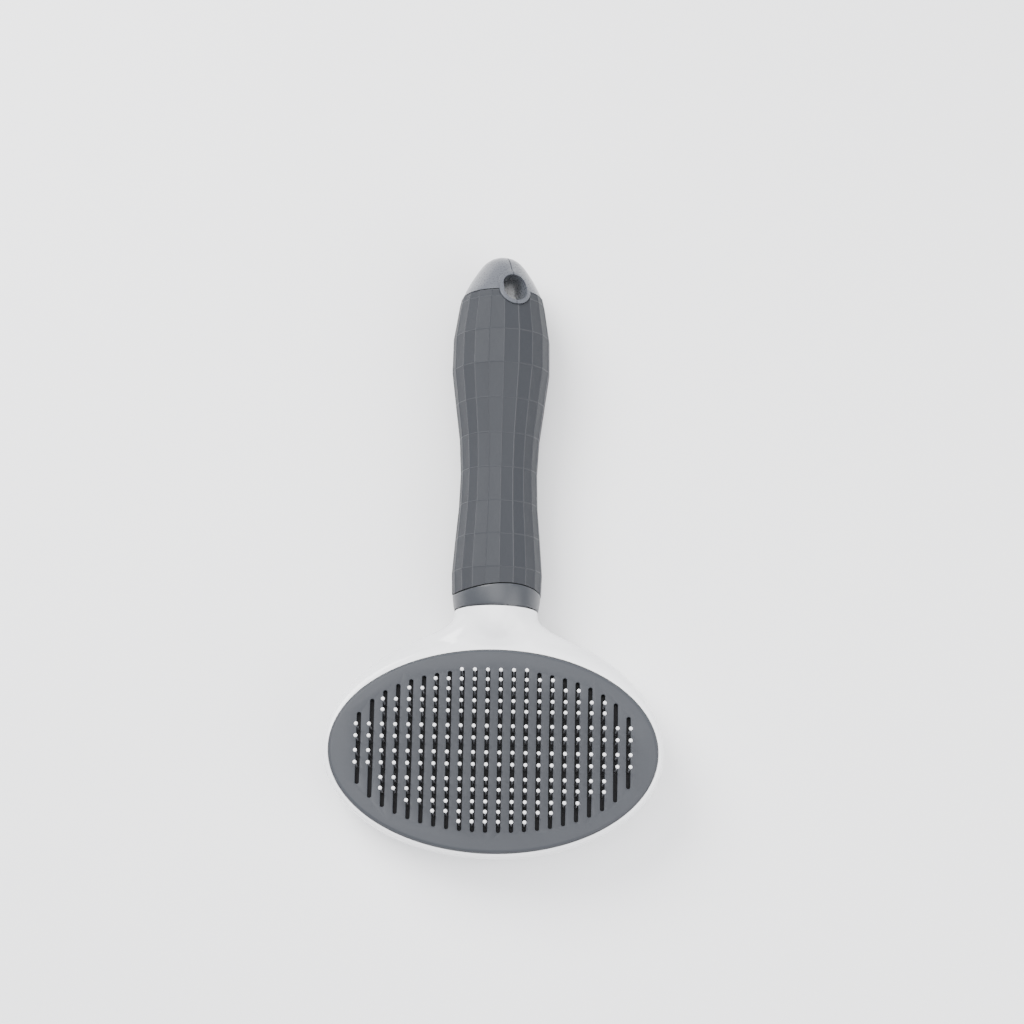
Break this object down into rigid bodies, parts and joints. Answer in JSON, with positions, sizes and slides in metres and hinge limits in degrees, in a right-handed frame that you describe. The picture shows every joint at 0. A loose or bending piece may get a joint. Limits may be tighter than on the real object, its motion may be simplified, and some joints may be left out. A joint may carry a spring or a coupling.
{
  "type": "self-cleaning pet slicker brush",
  "caption": "Oval-headed pet brush with round-tipped wire pins that retract through a slotted face, on a round soft-grip handle with a hanging hole.",
  "frame": {"origin": "on the flat back of the head, under the middle of the oval; the brush lies on its back on z = 0", "axes": "+Z the way the pins point, +Y towards the end of the handle, +X right seen from the pins with the handle up"},
  "size_m": [0.1144, 0.2107, 0.0425],
  "materials": {
    "white_shell": "glossy moulded ABS",
    "face_grey": "satin moulded ABS",
    "carrier_black": "plain moulded plastic",
    "pad_grey": "satin moulded ABS",
    "button_grey": "satin moulded ABS",
    "handle_grey": "smooth moulded ABS",
    "soft_grip": "soft-touch moulded grip with faceted cells",
    "screw_steel": "zinc plated",
    "black_steel": "blackened steel bolts",
    "spring_steel": "drawn spring wire and strip",
    "bristle_steel": "polished steel wire",
    "tip_white": "round resin drop"
  },
  "bodies": {
    "head": {"head_shell": "white_shell", "face_plate": "face_grey", "latch_leaf": "spring_steel", "latch_screw": "screw_steel", "handle_half_left": "handle_grey", "handle_half_right": "handle_grey", "handle_screws": "screw_steel", "handle_collar": "handle_grey", "grip_sleeve": "soft_grip", "return_spring_1": "spring_steel", "return_spring_2": "spring_steel", "return_spring_3": "spring_steel", "return_spring_4": "spring_steel"},
    "pin_slide": {"pin_carrier": "carrier_black", "staple_backing_plate": "carrier_black", "rear_push_pad": "pad_grey", "carrier_bolts": "black_steel", "bristle_row_01": "bristle_steel", "pin_tips_row_01": "tip_white", "bristle_row_02": "bristle_steel", "pin_tips_row_02": "tip_white", "bristle_row_03": "bristle_steel", "pin_tips_row_03": "tip_white", "bristle_row_04": "bristle_steel", "pin_tips_row_04": "tip_white", "bristle_row_05": "bristle_steel", "pin_tips_row_05": "tip_white", "bristle_row_06": "bristle_steel", "pin_tips_row_06": "tip_white", "bristle_row_07": "bristle_steel", "pin_tips_row_07": "tip_white", "bristle_row_08": "bristle_steel", "pin_tips_row_08": "tip_white", "bristle_row_09": "bristle_steel", "pin_tips_row_09": "tip_white", "bristle_row_10": "bristle_steel", "pin_tips_row_10": "tip_white", "bristle_row_11": "bristle_steel", "pin_tips_row_11": "tip_white", "bristle_row_12": "bristle_steel", "pin_tips_row_12": "tip_white", "bristle_row_13": "bristle_steel", "pin_tips_row_13": "tip_white", "bristle_row_14": "bristle_steel", "pin_tips_row_14": "tip_white"},
    "button": {"release_button": "button_grey"}
  },
  "joints": [
    {"name": "pin_retraction", "type": "slide", "parent": "head", "child": "pin_slide", "axis": [0, 0, -1], "range_m": [0, 0.0145], "deforming": ["return_spring_1", "return_spring_2", "return_spring_3", "return_spring_4"]},
    {"name": "release_button_press", "type": "slide", "parent": "head", "child": "button", "axis": [0, 0, 1], "range_m": [0, 0.0025], "stiffness_N_per_m": 600, "springref_m": -0.0008, "deforming": ["latch_leaf"]}
  ]
}
